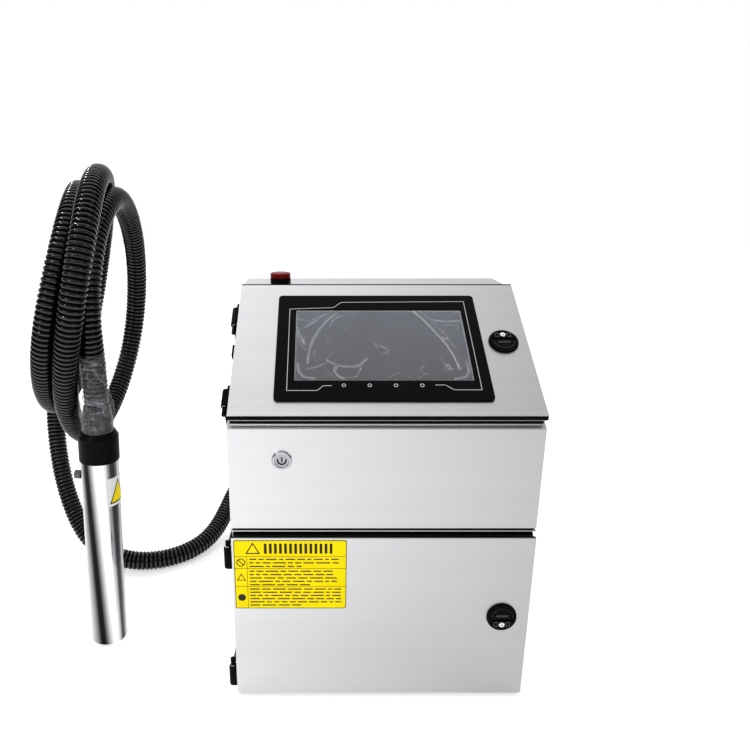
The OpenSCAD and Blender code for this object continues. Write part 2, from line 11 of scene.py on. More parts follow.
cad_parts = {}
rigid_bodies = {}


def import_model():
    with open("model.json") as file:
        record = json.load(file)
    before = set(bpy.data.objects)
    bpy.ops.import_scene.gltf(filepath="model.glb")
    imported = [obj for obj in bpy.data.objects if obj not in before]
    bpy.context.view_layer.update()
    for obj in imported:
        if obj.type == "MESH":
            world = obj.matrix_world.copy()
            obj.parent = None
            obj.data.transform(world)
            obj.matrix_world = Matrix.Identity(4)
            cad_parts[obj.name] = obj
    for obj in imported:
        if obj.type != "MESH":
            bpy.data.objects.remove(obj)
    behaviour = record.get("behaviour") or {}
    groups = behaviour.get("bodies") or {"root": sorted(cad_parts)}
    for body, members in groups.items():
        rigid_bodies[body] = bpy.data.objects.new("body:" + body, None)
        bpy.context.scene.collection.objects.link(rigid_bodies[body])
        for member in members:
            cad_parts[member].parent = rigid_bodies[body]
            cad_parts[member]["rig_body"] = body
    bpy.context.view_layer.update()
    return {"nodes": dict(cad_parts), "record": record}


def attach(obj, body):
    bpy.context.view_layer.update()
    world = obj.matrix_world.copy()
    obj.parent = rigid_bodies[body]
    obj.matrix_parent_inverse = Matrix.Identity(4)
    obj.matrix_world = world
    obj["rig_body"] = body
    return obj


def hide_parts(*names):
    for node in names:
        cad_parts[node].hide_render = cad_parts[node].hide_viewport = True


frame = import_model()
record_slots = {s["node"]: s["material_slot"] for s in frame["record"]["subparts"]}
node_bodies = {n: o["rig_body"] for n, o in frame["nodes"].items()}

MM = 0.001

LID_TILT = math.radians(33)
HEAD_TILT = math.radians(2.5)

# Frames of the sloping lid, the door's face, the upper front wall and the print head.
LID = Matrix.Translation((0, -134 * MM, 366 * MM)) @ Matrix.Rotation(LID_TILT, 4, "X")
DOOR = Matrix.Translation((0, -139 * MM, 0)) @ Matrix.Rotation(math.radians(90), 4, "X")
FRONT = Matrix.Translation((0, -134 * MM, 0)) @ Matrix.Rotation(math.radians(90), 4, "X")
HEAD = Matrix.Translation((-368 * MM, -26 * MM, 1.1 * MM)) @ Matrix.Rotation(HEAD_TILT, 4, "Y")

# Middle of the power button on the upper front wall, across and up, in mm.
BUTTON = (-115, 314)

# The umbilical's route from the print head to the gland, in millimetres.
HOSE_POINTS = [
    (-353, -26, 341), (-350, -31, 389), (-344, -53, 440), (-341, -52, 493),
    (-338, -29, 543), (-336, 13, 579), (-338, 69, 594), (-343, 127, 582),
    (-349, 180, 546), (-357, 219, 492), (-368, 242, 429), (-381, 246, 364),
    (-395, 226, 307), (-405, 182, 268), (-410, 125, 252), (-410, 65, 264),
    (-403, 10, 305), (-387, -39, 363), (-363, -75, 427), (-344, -88, 490),
    (-334, -71, 549), (-335, -30, 595), (-344, 29, 619), (-358, 95, 617),
    (-379, 158, 586), (-403, 207, 533), (-426, 235, 465), (-443, 231, 392),
    (-450, 192, 334), (-450, 128, 303), (-441, 55, 311), (-424, -9, 351),
    (-401, -56, 410), (-378, -71, 480), (-364, -46, 545), (-366, 7, 590),
    (-381, 74, 603), (-408, 138, 580), (-439, 189, 531), (-469, 222, 467),
    (-494, 239, 395), (-513, 244, 318), (-522, 239, 239), (-518, 222, 162),
    (-497, 193, 94), (-461, 158, 45), (-413, 135, 22), (-359, 130, 15),
    (-307, 148, 15), (-268, 185, 18), (-247, 235, 30), (-234, 288, 54),
    (-210, 333, 87), (-165, 360, 120), (-109, 361, 144), (-55, 336, 157),
    (-17, 290, 160), (0, 236, 160), (0, 191, 160),
]
RIB_PITCH = 0.0064


# ---------------------------------------------------------------- camera


def add_camera():
    """The camera in front of the printer, a little to its left and looking down."""
    data = bpy.data.cameras.new("camera")
    data.lens = 30.78
    data.sensor_width = 36
    data.shift_x = 0.0755
    camera = bpy.data.objects.new("camera", data)
    camera.location = (-0.0746, -0.7879, 0.6050)
    camera.rotation_euler = (math.radians(90 - 16.43), 0, 0)
    bpy.context.scene.collection.objects.link(camera)
    bpy.context.scene.camera = camera


add_camera()


# ---------------------------------------------------------------- materials


class Nodes:
    """Short words for building a node material."""

    # Places of the mix node's inputs and outputs, which share their names.
    FLOAT_INPUTS, FLOAT_OUTPUT = (2, 3), 0
    COLOUR_INPUTS, COLOUR_OUTPUT = (6, 7), 2

    def __init__(self, name):
        self.material = bpy.data.materials.new(name)
        self.material.use_nodes = True
        self.tree = self.material.node_tree
        self.shader = self.tree.nodes["Principled BSDF"]
        self.coords = self.add("ShaderNodeTexCoord")

    def add(self, kind, **values):
        """A new node with the given properties."""
        node = self.tree.nodes.new(kind)
        for key, value in values.items():
            setattr(node, key, value)
        return node

    def link(self, a, b):
        self.tree.links.new(a, b)

    def set(self, **values):
        """Fixed values of the main shader; underscores stand for spaces."""
        for key, value in values.items():
            socket = self.shader.inputs[key.replace("_", " ")]
            if key in ("Base_Color", "Emission_Color") and len(value) == 3:
                value = (*value, 1)
            socket.default_value = value
        return self

    def mapped(self, scale):
        """Object coordinates, stretched."""
        mapping = self.add("ShaderNodeMapping")
        mapping.inputs["Scale"].default_value = scale
        self.link(self.coords.outputs["Object"], mapping.inputs["Vector"])
        return mapping.outputs["Vector"]

    def noise(self, scale, detail=3, roughness=0.5, stretch=(1, 1, 1)):
        texture = self.add("ShaderNodeTexNoise")
        texture.inputs["Scale"].default_value = scale
        texture.inputs["Detail"].default_value = detail
        texture.inputs["Roughness"].default_value = roughness
        self.link(self.mapped(stretch), texture.inputs["Vector"])
        return texture.outputs["Fac"]

    def remap(self, value, low, high, start=0.0, stop=1.0):
        """Turns start to stop into low to high, clamped."""
        node = self.add("ShaderNodeMapRange")
        node.inputs["From Min"].default_value = start
        node.inputs["From Max"].default_value = stop
        node.inputs["To Min"].default_value = low
        node.inputs["To Max"].default_value = high
        self.link(value, node.inputs["Value"])
        return node.outputs["Result"]

    def mix(self, factor, a, b):
        """A colour between a and b, each a tuple or a socket."""
        node = self.add("ShaderNodeMix", data_type="RGBA")
        for index, value in zip(self.COLOUR_INPUTS, (a, b)):
            if isinstance(value, tuple):
                node.inputs[index].default_value = (*value, 1)
            else:
                self.link(value, node.inputs[index])
        self.link(factor, node.inputs[0])
        return node.outputs[self.COLOUR_OUTPUT]

    def mix_value(self, factor, a, b):
        """A number between the sockets a and b."""
        node = self.add("ShaderNodeMix", data_type="FLOAT")
        for index, value in zip(self.FLOAT_INPUTS, (a, b)):
            self.link(value, node.inputs[index])
        self.link(factor, node.inputs[0])
        return node.outputs[self.FLOAT_OUTPUT]

    def colour(self, socket):
        self.link(socket, self.shader.inputs["Base Color"])

    def rough(self, socket):
        self.link(socket, self.shader.inputs["Roughness"])

    def calculate(self, operation, a, b=None, clamp=False):
        """One sum on the socket a and on b, which may be a socket, a number or nothing."""
        node = self.add("ShaderNodeMath", operation=operation, use_clamp=clamp)
        self.link(a, node.inputs[0])
        if isinstance(b, (int, float)):
            node.inputs[1].default_value = b
        elif b is not None:
            self.link(b, node.inputs[1])
        return node.outputs[0]

    def axis(self, coordinates, letter):
        """One component of a vector socket."""
        split = self.add("ShaderNodeSeparateXYZ")
        self.link(coordinates, split.inputs[0])
        return split.outputs[letter]

    def bump(self, height, strength, distance):
        node = self.add("ShaderNodeBump")
        node.inputs["Strength"].default_value = strength
        node.inputs["Distance"].default_value = distance
        self.link(height, node.inputs["Height"])
        self.link(node.outputs["Normal"], self.shader.inputs["Normal"])


def brushed_steel(name, tone, roughness=0.36, grain=0.06, right_wall_shade=0.0):
    """Stainless sheet, its grain along X, and along Y on the side walls.

    The last argument is painted shade: how much darker the sheet is painted towards the housing's
    right wall, which the light reaches less.
    """
    half_width = 0.175
    m = Nodes(name).set(Metallic=1.0)
    along_x = m.noise(1, 4, 0.65, (3, 900, 900))
    along_y = m.noise(1, 4, 0.65, (900, 3, 900))
    broad = m.noise(1, 2, 0.5, (1.5, 60, 60))
    side = m.calculate("ABSOLUTE", m.axis(m.coords.outputs["Normal"], "X"))
    sideways = m.remap(side, 0, 1, 0.6, 0.8)
    lines = m.mix_value(sideways, along_x, along_y)
    dark = tuple(c * (1 - grain) for c in tone)
    light = tuple(min(1, c * (1 + grain * 0.5)) for c in tone)
    shade = m.mix(m.remap(lines, 0, 1, 0.3, 0.7), dark, light)
    worn = m.mix(m.remap(broad, 0, 0.25, 0.35, 0.65), shade, tuple(c * 0.9 for c in tone))
    # Painted shade: the sheet is painted darker from left to right, towards the housing's right
    # wall.
    x = m.axis(m.coords.outputs["Object"], "X")
    across = m.remap(x, 0, right_wall_shade, -half_width, half_width)
    m.colour(m.mix(across, worn, (0, 0, 0)))
    m.rough(m.remap(lines, roughness - 0.06, roughness + 0.08, 0.3, 0.7))
    m.bump(lines, 0.12, 0.0002)
    return m.material


# Painted reflections on the polished tube: its brightness at angles round its axis, in degrees
# from -180 to 180.
TUBE_PAINTED_REFLECTIONS = [
    (-180, 0.5), (-145, 0.6), (-120, 0.2), (-110, 0.01), (-97, 0.01), (-90, 0.15), (-70, 0.9),
    (-55, 0.9), (-40, 0.35), (-34, 0.05), (-22, 0.05), (-10, 0.35), (5, 0.6), (60, 0.2),
    (90, 0.6), (130, 0.25), (180, 0.5),
]


def reflection_painted_chrome_tube(name, centre):
    """Polished tube with painted reflections, bright and dark streaks along it; centre is the x
    and y of its upright axis.
    """
    m = Nodes(name).set(Metallic=1.0)
    shift = m.add("ShaderNodeMapping")
    shift.inputs["Location"].default_value = (-centre[0], -centre[1], 0)
    m.link(m.coords.outputs["Object"], shift.inputs["Vector"])
    around = shift.outputs["Vector"]
    angle = m.calculate("ARCTAN2", m.axis(around, "Y"), m.axis(around, "X"))
    ramp = m.add("ShaderNodeValToRGB")
    stops = ramp.color_ramp.elements
    for degrees, tone in TUBE_PAINTED_REFLECTIONS:
        spot = (degrees + 180) / 360
        if degrees in (-180, 180):
            stop = stops[0] if degrees < 0 else stops[-1]
            stop.position = spot
        else:
            stop = stops.new(spot)
        stop.color = (tone, tone * 1.01, tone * 1.03, 1)
    m.link(m.remap(angle, 0, 1, -math.pi, math.pi), ramp.inputs["Fac"])
    # Painted reflection: the colour is set by the angle round the tube's axis.
    m.colour(ramp.outputs["Color"])
    m.rough(m.remap(m.noise(150, 4), 0.07, 0.13))
    return m.material


def polished(name, tone, roughness=0.08):
    """Bright plated or turned metal."""
    m = Nodes(name).set(Metallic=1.0)
    m.colour(m.mix(m.noise(60), tone, tuple(c * 0.94 for c in tone)))
    m.rough(m.remap(m.noise(180, 4), roughness, roughness + 0.07))
    return m.material


def moulded(name, tone, roughness=0.42, grain=0.15, scale=1600, shine=0.2):
    """Moulded plastic or painted metal with a fine grain and slight unevenness."""
    m = Nodes(name).set(Specular_IOR_Level=shine)
    m.colour(m.mix(m.noise(35, 3), tone, tuple(c * 1.25 + 0.001 for c in tone)))
    m.rough(m.remap(m.noise(90, 4), roughness - 0.05, roughness + 0.08))
    m.bump(m.noise(scale, 2), grain, 0.0002)
    return m.material


def clear_film(name, tone, alpha, fold_highlight_alpha, roughness, facing=None):
    """Thin clear plastic film, painted whiter in its creases as a highlight.

    A flat film gives its normal as facing and is painted whiter, as a highlight, where it tilts
    away from it.
    """
    m = Nodes(name).set(Base_Color=tone, IOR=1.45, Specular_IOR_Level=0.6)
    creases = m.noise(55, 5, 0.6)
    haze = m.remap(creases, alpha * 0.7, alpha * 1.3, 0.35, 0.7)
    # Painted highlight: the film is made more opaque and whiter where it tilts, or along its
    # ridges.
    if facing:
        dot = m.add("ShaderNodeVectorMath", operation="DOT_PRODUCT")
        dot.inputs[1].default_value = facing
        m.link(m.coords.outputs["Normal"], dot.inputs[0])
        painted_fold_highlight = m.remap(dot.outputs["Value"], fold_highlight_alpha, 0, 0.8, 0.985)
    else:
        ridges = m.noise(160, 3, 0.7)
        painted_fold_highlight = m.remap(ridges, 0, fold_highlight_alpha, 0.55, 0.75)
        m.bump(ridges, 0.6, 0.002)
    from_middle = m.calculate("ABSOLUTE", m.calculate("SUBTRACT", m.noise(26, 4, 0.55), 0.5))
    thin_lines = m.remap(from_middle, 0.3, 0, 0, 0.02)
    patches = m.remap(m.noise(30, 2), 0, 1, 0.45, 0.65)
    crinkle = m.calculate("MULTIPLY", thin_lines, patches)
    grain = m.remap(m.noise(1500, 1), 0, 0.05, 0.35, 0.65)
    total = haze
    for part in (painted_fold_highlight, crinkle, grain):
        total = m.calculate("ADD", total, part, clamp=True)
    m.link(total, m.shader.inputs["Alpha"])
    m.rough(m.remap(creases, roughness, roughness + 0.12))
    return m.material


def screen_glass():
    """Unlit display with a painted reflection that makes it paler towards its upper edge, and
    faint darker clouds.
    """
    bottom, top = 0.395, 0.455
    lower_tone, reflected_top_tone = (0.43, 0.445, 0.485), (0.64, 0.67, 0.75)
    cloud_tone = (0.3, 0.31, 0.345)
    m = Nodes("screen_glass").set(Specular_IOR_Level=0.3)
    # Painted reflection: the screen is painted paler towards its upper edge.
    up = m.remap(m.axis(m.coords.outputs["Object"], "Z"), 0, 1, bottom, top)
    clouds = m.remap(m.noise(9, 2), 0, 0.35, 0.4, 0.7)
    m.colour(m.mix(clouds, m.mix(up, lower_tone, reflected_top_tone), cloud_tone))
    m.rough(m.remap(m.noise(40, 3), 0.35, 0.5))
    return m.material


def circuit_board():
    """Green board with a pattern of paler tracks."""
    m = Nodes("circuit_board").set(Coat_Weight=0.5, Coat_Roughness=0.2)
    tracks = m.add("ShaderNodeTexBrick", offset=0.35, squash=1.0)
    tracks.inputs["Scale"].default_value = 55
    tracks.inputs["Mortar Size"].default_value = 0.06
    tracks.inputs["Color1"].default_value = (0.01, 0.13, 0.05, 1)
    tracks.inputs["Color2"].default_value = (0.012, 0.16, 0.06, 1)
    tracks.inputs["Mortar"].default_value = (0.05, 0.3, 0.12, 1)
    m.link(m.mapped((1, 1, 1)), tracks.inputs["Vector"])
    m.colour(tracks.outputs["Color"])
    m.rough(m.remap(m.noise(80), 0.3, 0.5))
    return m.material


def translucent(name, tone, roughness, transmission):
    """Coloured plastic that lets a little light through."""
    m = Nodes(name).set(Transmission_Weight=transmission, Specular_IOR_Level=0.1)
    m.colour(m.mix(m.noise(70, 3), tone, tuple(c * 0.75 for c in tone)))
    m.rough(m.remap(m.noise(120), roughness, roughness + 0.1))
    return m.material


LID_NORMAL = (0, -math.sin(LID_TILT), math.cos(LID_TILT))
MATERIALS = {
    # The stainless sheet's last value, 0.36, is painted shade towards the housing's right wall.
    "stainless_sheet": brushed_steel("stainless_sheet", (0.68, 0.69, 0.705), 0.34, 0.07, 0.36),
    "inner_steel": brushed_steel("inner_steel", (0.6, 0.61, 0.62), 0.3),
    "bright_steel": polished("bright_steel", (0.8, 0.81, 0.83)),
    "black_rubber": moulded("black_rubber", (0.002, 0.002, 0.002), 0.8, 0.3, 900, 0.05),
    "black_hardware": moulded("black_hardware", (0.002, 0.002, 0.0025), 0.4, 0.15, 1200, 0.03),
    "hose_black": moulded("hose_black", (0.0015, 0.0015, 0.0016), 0.12, 0.5, 260, 0.45),
    "collar_black": moulded("collar_black", (0.002, 0.002, 0.003), 0.4, 0.12, 1500, 0.04),
    "nut_grey": moulded("nut_grey", (0.012, 0.012, 0.013), 0.35),
    "bezel_black": moulded("bezel_black", (0.002, 0.002, 0.0022), 0.35, 0.05, 800, 0.03),
    "screen_grey": screen_glass(),
    "clear_film": clear_film("clear_film", (0.8, 0.82, 0.86), 0.07, 0.8, 0.2, LID_NORMAL),
    "button_metal": brushed_steel("button_metal", (0.38, 0.39, 0.42), 0.36),
    "signal_red": translucent("signal_red", (0.22, 0.001, 0.002), 0.3, 0.05),
    "light_white": moulded("light_white", (0.75, 0.76, 0.78), 0.3),
    "label_yellow": moulded("label_yellow", (0.88, 0.70, 0.002), 0.45, 0.05, 300, 0.05),
    "circuit_green": circuit_board(),
    "supply_metal": brushed_steel("supply_metal", (0.66, 0.67, 0.68), 0.45),
    "tank_white": moulded("tank_white", (0.62, 0.62, 0.58), 0.4, 0.1, 600),
    "cap_black": moulded("cap_black", (0.015, 0.015, 0.015), 0.4),
    "cap_red": moulded("cap_red", (0.35, 0.015, 0.012), 0.4),
    "pump_aluminium": brushed_steel("pump_aluminium", (0.5, 0.51, 0.53), 0.42),
    "motor_dark": moulded("motor_dark", (0.022, 0.022, 0.025), 0.38, 0.15, 1600, 0.3),
    "electrode_brass": polished("electrode_brass", (0.7, 0.52, 0.25), 0.25),
}
TUBE_CHROME_PAINTED_REFLECTIONS = reflection_painted_chrome_tube("tube_chrome_painted_reflections", (-0.3622, -0.026))
INK_BLACK = moulded("print_black", (0.02, 0.016, 0.008), 0.5, 0.05)
LINE_WHITE = moulded("line_white", (0.55, 0.56, 0.58), 0.35, 0.05)
PAPER_WHITE = moulded("paper_white", (0.78, 0.78, 0.77), 0.5, 0.05)
# Painted shade for the hose's grooves: a darker, duller black than its crests.
GROOVE_PAINTED_SHADE = moulded("groove_painted_shade", (0.001, 0.001, 0.001), 0.5, 0.1, 500, 0.02)
SCREW_GREY = moulded("screw_grey", (0.11, 0.11, 0.115), 0.35, 0.3, 900, 0.5)
BUTTON_EDGE = polished("button_edge", (0.55, 0.56, 0.58), 0.18)
ZINC = polished("zinc", (0.8, 0.81, 0.83), 0.22)
NECK_FILM = clear_film("neck_film", (0.5, 0.52, 0.55), 0.02, 0.3, 0.04)


# ---------------------------------------------------------------- mesh helpers


def new_piece(name, mesh, node, material=None):
    """A piece of the object that follows a CAD node's body and material slot."""
    piece = bpy.data.objects.new(name, mesh)
    bpy.context.scene.collection.objects.link(piece)
    slot = record_slots[node]
    mesh.materials.clear()
    mesh.materials.append(material or MATERIALS[slot])
    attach(piece, node_bodies[node])
    return piece


def mesh_from(name, points, faces, smooth=False):
    """A mesh from points in metres and faces as point numbers."""
    mesh = bpy.data.meshes.new(name)
    mesh.from_pydata([tuple(p) for p in points], [], faces)
    mesh.validate()
    if smooth:
        mesh.shade_smooth()
    return mesh


def smooth_by_angle(mesh, degrees=40):
    """Smooth shading that keeps edges sharper than the angle."""
    mesh.shade_smooth()
    mesh.set_sharp_from_angle(angle=math.radians(degrees))


def apply_modifiers(piece):
    """Replaces the piece's mesh with what its modifiers make of it."""
    depsgraph = bpy.context.evaluated_depsgraph_get()
    final = bpy.data.meshes.new_from_object(piece.evaluated_get(depsgraph))
    piece.modifiers.clear()
    piece.data = final


def polar(radius, angle):
    """The point at a radius and an angle in radians."""
    return radius * math.cos(angle), radius * math.sin(angle)


def lathe(name, profile, place, steps=64, ripple=None):
    """A closed solid turned from (radius, height) points in mm around the local z axis.

    ripple, if given, is added to the radius at each angle and height.
    """
    points, faces = [], []
    for r, z in profile:
        for k in range(steps):
            a = 2 * math.pi * k / steps
            grown = r + (ripple(a, z) if ripple else 0)
            points.append(place @ Vector((*polar(grown, a), z)))
    count = len(profile)
    for i in range(count):
        for k in range(steps):
            a, b = i * steps + k, i * steps + (k + 1) % steps
            j = (i + 1) % count
            c, d = j * steps + (k + 1) % steps, j * steps + k
            faces.append((a, b, c, d))
    mesh = mesh_from(name, points, faces)
    work = bmesh.new()
    work.from_mesh(mesh)
    bmesh.ops.remove_doubles(work, verts=work.verts, dist=1e-7)
    bmesh.ops.recalc_face_normals(work, faces=work.faces)
    work.to_mesh(mesh)
    work.free()
    smooth_by_angle(mesh)
    return mesh


def millimetres(matrix):
    """The same frame, for points given in millimetres."""
    return matrix @ Matrix.Scale(MM, 4)


def extruded(name, outline, low, high, place, holes=()):
    """A flat plate from an outline in mm, from low to high along the local z axis."""
    work = bmesh.new()
    loops = []
    for loop in [outline, *holes]:
        verts = [work.verts.new((x, y, low)) for x, y in loop]
        loops += [work.edges.new((a, b)) for a, b in zip(verts, verts[1:] + verts[:1])]
    flat = bmesh.ops.triangle_fill(work, use_beauty=True, use_dissolve=False, edges=loops)
    bottom = [f for f in flat["geom"] if isinstance(f, bmesh.types.BMFace)]
    raised = bmesh.ops.extrude_face_region(work, geom=bottom)
    verts = [v for v in raised["geom"] if isinstance(v, bmesh.types.BMVert)]
    bmesh.ops.translate(work, verts=verts, vec=(0, 0, high - low))
    bmesh.ops.recalc_face_normals(work, faces=work.faces)
    bmesh.ops.transform(work, matrix=millimetres(place), verts=work.verts)
    mesh = bpy.data.meshes.new(name)
    work.to_mesh(mesh)
    work.free()
    return mesh


def rounded_outline(x0, x1, y0, y1, r, steps=6):
    """Points round a rectangle with round corners."""
    corners = [
        (x1 - r, y1 - r, 0), (x0 + r, y1 - r, 90), (x0 + r, y0 + r, 180), (x1 - r, y0 + r, 270)
    ]
    outline = []
    for cx, cy, start in corners:
        for k in range(steps + 1):
            x, y = polar(r, math.radians(start + 90 * k / steps))
            outline.append((cx + x, cy + y))
    return outline


def circle_outline(cx, cy, r, steps=32):
    """Points round a circle."""
    corners = [polar(r, 2 * math.pi * k / steps) for k in range(steps)]
    return [(cx + x, cy + y) for x, y in corners]


def ring_outline(cx, cy, r, width):
    """The outer and inner circle of a flat ring."""
    return circle_outline(cx, cy, r), circle_outline(cx, cy, r - width)


def ribbon(name, line, width, low, high, place, closed=False):
    """A thin raised line of constant width along points in mm."""
    work = bmesh.new()
    for a, b in zip(line, line[1:] + (line[:1] if closed else [])):
        ax, ay = a
        bx, by = b
        size = math.hypot(bx - ax, by - ay)
        if size == 0:
            continue
        ux, uy = (bx - ax) / size * width / 2, (by - ay) / size * width / 2
        corners = [
            (ax - ux - uy, ay - uy + ux), (ax - ux + uy, ay - uy - ux),
            (bx + ux + uy, by + uy - ux), (bx + ux - uy, by + uy + ux),
        ]
        top = [work.verts.new((x, y, high)) for x, y in corners]
        bottom = [work.verts.new((x, y, low)) for x, y in corners]
        work.faces.new(top)
        work.faces.new(bottom[::-1])
        for i in range(4):
            j = (i + 1) % 4
            work.faces.new((bottom[i], bottom[j], top[j], top[i]))
    bmesh.ops.recalc_face_normals(work, faces=work.faces)
    bmesh.ops.transform(work, matrix=millimetres(place), verts=work.verts)
    mesh = bpy.data.meshes.new(name)
    work.to_mesh(mesh)
    work.free()
    return mesh


def joined(name, meshes):
    """One mesh from several, which are used up."""
    work = bmesh.new()
    for mesh in meshes:
        work.from_mesh(mesh)
        bpy.data.meshes.remove(mesh)
    result = bpy.data.meshes.new(name)
    work.to_mesh(result)
    work.free()
    return result


def eased(node, width, material=None):
    """A copy of a CAD node with its sharp edges rounded over, standing for that node."""
    sharpest_left, flat_enough = math.radians(28), math.radians(0.5)
    source = frame["nodes"][node]
    mesh = source.data.copy()
    work = bmesh.new()
    work.from_mesh(mesh)
    bmesh.ops.remove_doubles(work, verts=work.verts, dist=1e-6)
    bmesh.ops.dissolve_limit(work, angle_limit=flat_enough, verts=work.verts, edges=work.edges)
    work.to_mesh(mesh)
    work.free()
    piece = new_piece(f"{node}_piece", mesh, node)
    bevel = piece.modifiers.new("ease", "BEVEL")
    bevel.width = width * MM
    bevel.segments = 2
    bevel.limit_method = "ANGLE"
    bevel.angle_limit = sharpest_left
    bevel.use_clamp_overlap = True
    apply_modifiers(piece)
    smooth_by_angle(piece.data)
    level = piece.modifiers.new("level", "WEIGHTED_NORMAL")
    level.keep_sharp = True
    apply_modifiers(piece)
    if material:
        piece.data.materials[0] = material
    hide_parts(node)


def double_wall(count, steps):
    """Faces of a sleeve: two walls of points, each wall in count + 1 rings of steps points."""
    faces = []
    wall = (count + 1) * steps
    for shell in (0, 1):
        for j in range(count):
            for k in range(steps):
                a = shell * wall + j * steps + k
                b = shell * wall + j * steps + (k + 1) % steps
                face = (a, b, b + steps, a + steps)
                faces.append(face if shell == 0 else face[::-1])
    for j in (0, count):
        for k in range(steps):
            a, b = j * steps + k, j * steps + (k + 1) % steps
            face = (a, b, b + wall, a + wall)
            faces.append(face[::-1] if j == 0 else face)
    return faces


# ---------------------------------------------------------------- umbilical


def hose_line(step):
    """Points about step metres apart on the B-spline that follows the route."""
    parts = 40
    before = [2 * a - b for a, b in zip(HOSE_POINTS[0], HOSE_POINTS[1])]
    after = [2 * a - b for a, b in zip(HOSE_POINTS[-1], HOSE_POINTS[-2])]
    control = [Vector(p) * MM for p in [before, *HOSE_POINTS, after, after]]
    fine = []
    for i in range(len(HOSE_POINTS) - 1):
        a, b, c, d = control[i : i + 4]
        for k in range(parts):
            f = k / parts
            fine.append(
                ((1 - f) ** 3 * a + (3 * f**3 - 6 * f * f + 4) * b
                 + (1 + 3 * f + 3 * f * f - 3 * f**3) * c + f**3 * d) / 6
            )
    fine.append(Vector(HOSE_POINTS[-1]) * MM)
    total = sum((b - a).length for a, b in zip(fine, fine[1:]))
    count = round(total / step)
    line, target, run = [fine[0]], total / count, 0.0
    for a, b in zip(fine, fine[1:]):
        size = (b - a).length
        while run + size >= target * len(line) and len(line) <= count:
            line.append(a.lerp(b, (target * len(line) - run) / size))
        run += size
    line[-1] = fine[-1]
    return line


def add_hose():
    """Corrugated conduit: four rings to each rib, on a frame carried along the line, with painted
    shade in its grooves.
    """
    rib_radii = (15.1, 14.4, 12.5, 14.4)
    shaded_groove_rings = (1, 2)
    unevenness = 0.35
    rib_rings, sides = len(rib_radii), 24
    line = hose_line(RIB_PITCH / rib_rings)
    side = Vector((0, 1, 0))
    points, faces = [], []
    last = len(line) - 1
    for i, centre in enumerate(line):
        way = (line[min(i + 1, last)] - line[max(i - 1, 0)]).normalized()
        side = (side - way * side.dot(way)).normalized()
        other = way.cross(side)
        for k in range(sides):
            a = 2 * math.pi * k / sides
            out = side * math.cos(a) + other * math.sin(a)
            uneven = unevenness * noise.noise(centre * 150 + out * 2.5)
            points.append(centre + out * (rib_radii[i % rib_rings] + uneven) * MM)
    for i in range(last):
        for k in range(sides):
            a, b = i * sides + k, i * sides + (k + 1) % sides
            faces.append((a, b, b + sides, a + sides))
    faces.append(tuple(range(sides))[::-1])
    faces.append(tuple(last * sides + k for k in range(sides)))
    mesh = mesh_from("hose", points, faces, smooth=True)
    hose = new_piece("umbilical_hose_corrugated", mesh, "umbilical_hose")
    # Painted shade: the two groove rings of each rib get the darker, duller black.
    mesh.materials.append(GROOVE_PAINTED_SHADE)
    for face in mesh.polygons:
        if face.index // sides % rib_rings in shaded_groove_rings:
            face.material_index = 1
    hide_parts("umbilical_hose")


add_hose()


# ---------------------------------------------------------------- housings, lid and door


# Width in mm of the rounded edges of each piece.
for name, width in {
    "lower_cabinet": 0.5, "upper_cabinet": 0.6, "door_panel": 0.6, "lid_panel": 0.35,
    "housing_gasket": 0.4, "door_gasket": 0.4, "lid_seals": 0.5,
    "door_hinge_cabinet_halves": 0.8, "door_hinge_door_halves": 1.0, "door_hinge_pins": 0.3,
    "lid_hinge_cabinet_halves": 0.8, "lid_hinge_lid_halves": 1.0, "lid_hinge_pins": 0.3,
    "door_latch_housing": 0.6, "lid_latch_housing": 0.6,
    "door_latch_rotor": 0.4, "lid_latch_rotor": 0.4,
    "door_latch_flap": 0.5, "lid_latch_flap": 0.5,
    "door_latch_cam": 0.3, "lid_latch_cam": 0.3,
    "display_bezel": 0.9, "display_panel": 0.2, "display_board": 0.15,
    "power_button_ring": 0.5, "power_button_cap": 0.5,
    "beacon_base": 0.6, "beacon_lens": 1.2, "lid_edge_pad": 0.8,
    "control_board": 0.15, "power_supply": 0.3, "high_voltage_module": 0.6,
    "fan_housing": 0.5, "fan_rotor": 0.2, "power_inlet": 0.4,
    "drip_tray": 0.3, "ink_tank": 1.2, "ink_cap": 0.4, "solvent_tank": 1.2, "solvent_cap": 0.4,
    "pump_motor": 0.5, "pump_shaft": 0.3, "pump_head": 0.5, "ink_filter": 0.8,
    "valve_manifold": 0.4, "mixing_tank": 0.8,
    "cabinet_gland": 0.6, "head_gland_nut": 0.8, "head_collar": 0.8, "head_cover_tube": 0.4,
    "head_thumb_screw": 0.4, "head_chassis": 0.3, "head_nozzle": 0.3,
    "head_charge_electrode": 0.2, "head_deflection_plates": 0.2, "head_gutter": 0.2,
}.items():
    eased(name, width, material=TUBE_CHROME_PAINTED_REFLECTIONS if name == "head_cover_tube" else None)


# ---------------------------------------------------------------- display

BEZEL_TOP = 3.0
# The white line on the bezel: points across and up the lid in mm.
BEZEL_LINE = [(-60, 40), (-69, 40), (-76, 33), (-110, 33), (-110, 164), (-56, 166.5),
              (-46, 176), (108, 177.5), (108, 34), (77, 34), (68, 41), (57, 41)]


def add_bezel_line():
    """The thin white line round the screen."""
    mesh = ribbon("line", BEZEL_LINE, 0.7, BEZEL_TOP - 0.2, BEZEL_TOP + 0.08, LID)
    new_piece("bezel_white_line", mesh, "display_bezel", LINE_WHITE)


def add_indicator_rings():
    """A small ring for each of the four indicator lights."""
    rings = []
    for x in (-46, -17, 12.5, 42):
        outer, inner = ring_outline(x, 40.5, 2.4, 0.7)
        rings.append(extruded("ring", outer, BEZEL_TOP - 0.2, BEZEL_TOP + 0.2, LID, [inner]))
    piece = new_piece("indicator_rings", joined("rings", rings), "indicator_lights", LINE_WHITE)
    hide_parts("indicator_lights")


